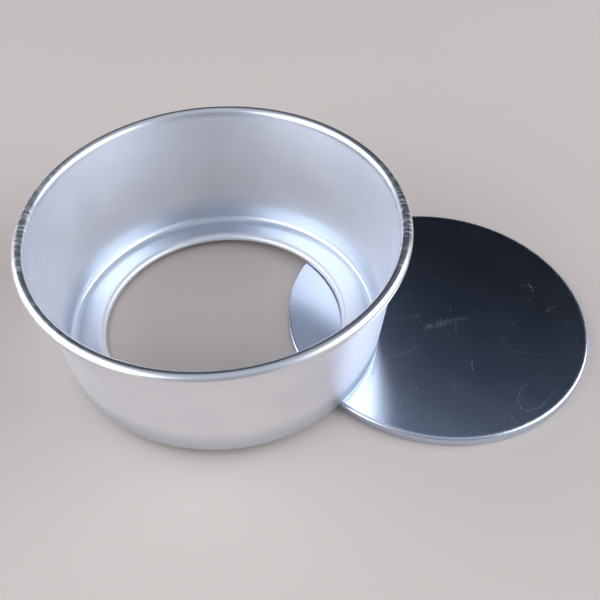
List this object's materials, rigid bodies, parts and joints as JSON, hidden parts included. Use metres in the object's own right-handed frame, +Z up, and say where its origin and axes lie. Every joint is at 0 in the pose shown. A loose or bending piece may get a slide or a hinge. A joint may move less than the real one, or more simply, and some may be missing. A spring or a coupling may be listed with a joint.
{
  "type": "loose-bottom cake tin",
  "caption": "Round aluminium cake tin with a curled rim and an inward flange, standing with one side on its removed loose bottom disc",
  "frame": {"origin": "on the table under the middle of the pair's bounding box", "axes": "+Z up; +X points from the middle of the ring to the middle of the disc; the pair is the same on both sides of the XZ plane"},
  "size_m": [0.2608, 0.17, 0.0717],
  "materials": {
    "satin_aluminium": "anodised satin, spun",
    "polished_aluminium": "polished, lightly scratched"
  },
  "bodies": {
    "root": {"tin_shell": "satin_aluminium", "loose_bottom": "polished_aluminium"}
  },
  "joints": []
}
